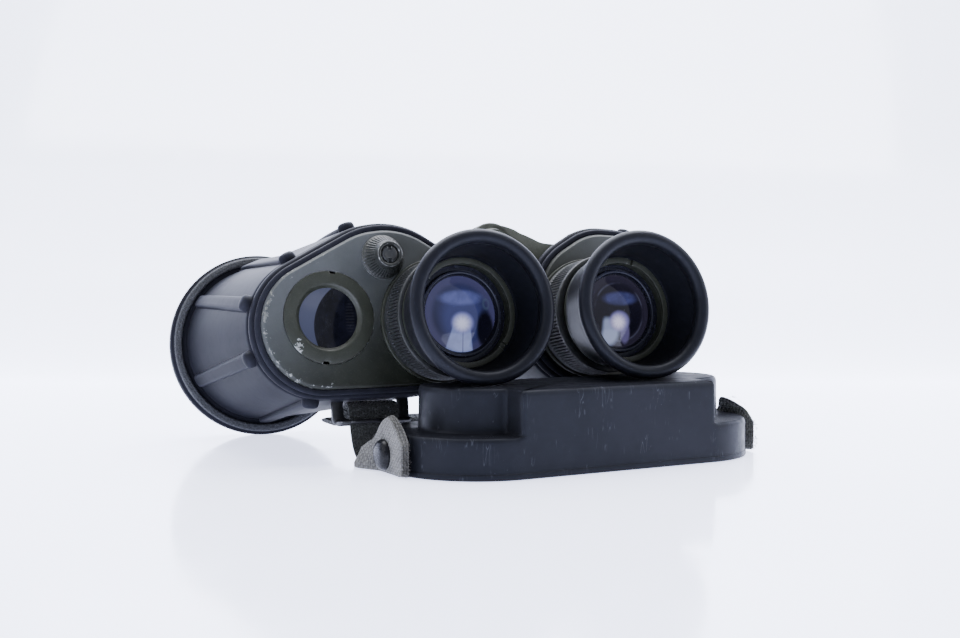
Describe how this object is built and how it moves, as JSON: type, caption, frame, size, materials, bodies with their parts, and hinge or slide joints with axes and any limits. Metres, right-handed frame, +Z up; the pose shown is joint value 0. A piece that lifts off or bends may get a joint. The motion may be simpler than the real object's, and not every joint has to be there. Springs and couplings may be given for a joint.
{
  "type": "prism binocular",
  "caption": "Rubber-armoured offset-prism binocular with central hinge, turning focus rings, flared eyecups, filter knob and strap lugs, resting on its plastic eyepiece rain guard.",
  "frame": {"origin": "on the floor, under the middle of the whole object's bounding box", "axes": "+Z up, +Y from the eyepieces towards the objectives as seen from above, +X from the left eyepiece to the right one; the optical axes dip 8.5 degrees from +Y"},
  "size_m": [0.2198, 0.1683, 0.0866],
  "materials": {
    "housing": "satin green-grey enamel over cast alloy",
    "plate": "satin olive-grey enamel, worn to bare metal at the edges",
    "black_metal": "black anodised",
    "steel": "worn",
    "armour": "matt moulded grip rubber",
    "eyecup": "soft satin rubber",
    "glass_clear": "polished",
    "glass_coated": "polished with a violet-blue coating",
    "bezel": "satin dark",
    "guard": "scuffed moulded plastic",
    "canvas": "woven canvas, frayed",
    "canvas_dark": "woven canvas, frayed",
    "webbing": "woven webbing",
    "black_plastic": "moulded",
    "rivet": "gloss black domed"
  },
  "bodies": {
    "barrel_left": {"housing_left": "housing", "armour_left": "armour", "rear_plate_left": "plate", "window_ring_left": "plate", "window_pane_left": "glass_clear", "objective_cell_left": "black_metal", "objective_lens_left": "glass_coated", "prism_mount_left": "black_metal", "prism_left": "glass_clear", "reticle_left": "glass_clear", "focus_collar_left": "plate", "strap_lug_left": "black_metal", "hinge_pin": "steel", "hinge_cap_rear": "plate", "hinge_cap_front": "plate", "neck_strap": "webbing", "buckle_male": "black_plastic"},
    "focus_ring_left": {"focus_ring_left": "black_metal"},
    "ocular_left": {"ocular_tube_left": "plate", "eyecup_left": "eyecup", "keeper_ring_left": "plate", "bezel_left": "bezel", "eye_lens_left": "glass_coated", "field_lens_left": "glass_clear"},
    "filter_knob": {"filter_knob": "plate", "knob_screw": "steel"},
    "barrel_right": {"housing_right": "housing", "armour_right": "armour", "rear_plate_right": "plate", "blank_ring_right": "plate", "purge_screw_right": "steel", "objective_cell_right": "black_metal", "objective_lens_right": "glass_coated", "prism_mount_right": "black_metal", "prism_right": "glass_clear", "focus_collar_right": "plate", "strap_lug_right": "black_metal", "strap_stub": "webbing", "buckle_female": "black_plastic"},
    "focus_ring_right": {"focus_ring_right": "black_metal"},
    "ocular_right": {"ocular_tube_right": "plate", "eyecup_right": "eyecup", "keeper_ring_right": "plate", "bezel_right": "bezel", "eye_lens_right": "glass_coated", "field_lens_right": "glass_clear"},
    "rain_guard": {"guard_shell": "guard", "guard_tab_left": "canvas", "guard_rivet_left": "rivet", "guard_tab_right": "canvas_dark", "guard_rivet_right": "rivet"}
  },
  "joints": [
    {"name": "hinge_fold", "type": "hinge", "parent": "barrel_left", "child": "barrel_right", "pos_m": [0, 0.01886, 0.07368], "axis": [0, -0.9889, 0.1485], "range_deg": [0, 26]},
    {"name": "focus_left_turn", "type": "hinge", "parent": "barrel_left", "child": "focus_ring_left", "pos_m": [-0.031, -0.03108, 0.05085], "axis": [0, -0.9889, 0.1485], "range_deg": [0, 180]},
    {"name": "ocular_left_travel", "type": "slide", "parent": "barrel_left", "child": "ocular_left", "axis": [0, -0.9889, 0.1485], "range_m": [0, 0.00363]},
    {"name": "filter_knob_turn", "type": "hinge", "parent": "barrel_left", "child": "filter_knob", "pos_m": [-0.0515, -0.0237, 0.07309], "axis": [0, -0.9889, 0.1485], "range_deg": [0, 90]},
    {"name": "focus_right_turn", "type": "hinge", "parent": "barrel_right", "child": "focus_ring_right", "pos_m": [0.031, -0.03108, 0.05085], "axis": [0, -0.9889, 0.1485], "range_deg": [0, 180]},
    {"name": "ocular_right_travel", "type": "slide", "parent": "barrel_right", "child": "ocular_right", "axis": [0, -0.9889, 0.1485], "range_m": [0, 0.00363]},
    {"name": "guard_off", "type": "slide", "parent": "barrel_left", "child": "rain_guard", "axis": [0.0872, -0.9962, 0], "range_m": [0, 0.08]}
  ],
  "couplings": [
    {"joint": "ocular_left_travel", "follows": "focus_left_turn", "m_per_rad": 0.00115},
    {"joint": "ocular_right_travel", "follows": "focus_right_turn", "m_per_rad": 0.00115}
  ]
}
